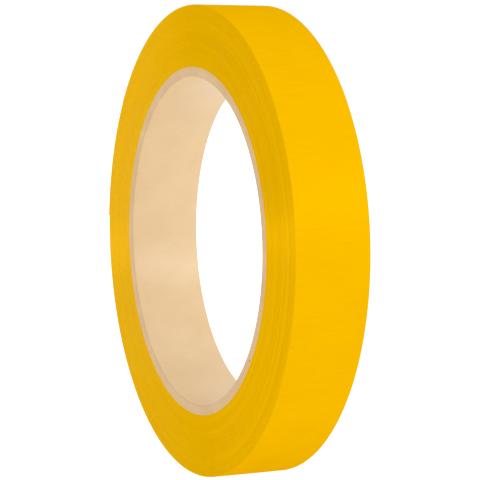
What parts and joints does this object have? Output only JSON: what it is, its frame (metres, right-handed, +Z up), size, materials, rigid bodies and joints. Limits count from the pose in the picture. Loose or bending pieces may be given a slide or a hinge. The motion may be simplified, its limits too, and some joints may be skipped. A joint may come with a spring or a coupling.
{
  "type": "roll of masking tape",
  "caption": "Narrow roll of yellow masking tape standing on its rim, wound on an open spiral-ply paperboard core, with a free end that peels back from the outermost lap.",
  "frame": {"origin": "centre of the core's bore, half way across the width of the tape", "axes": "+Y along the axis of the roll, from the front side face to the back one; +Z up, with the roll standing on its rim; the free end is on the -X side of the rim"},
  "size_m": [0.1097, 0.0176, 0.1094],
  "materials": {
    "tape": "satin",
    "core_board": "matte",
    "core_board_inside": "matte"
  },
  "bodies": {
    "roll": {"core_liner_ply": "core_board", "core_inner_ply": "core_board_inside", "core_middle_ply": "core_board_inside", "core_outer_ply": "core_board_inside", "core_wrap_ply": "core_board", "wound_tape": "tape", "outer_lap": "tape"},
    "tail": {"free_end": "tape"}
  },
  "joints": [
    {"name": "tail_peel", "type": "hinge", "parent": "roll", "child": "tail", "pos_m": [-0.04874, 0, 0.02494], "axis": [0, 1, 0], "range_deg": [0, 150]}
  ]
}
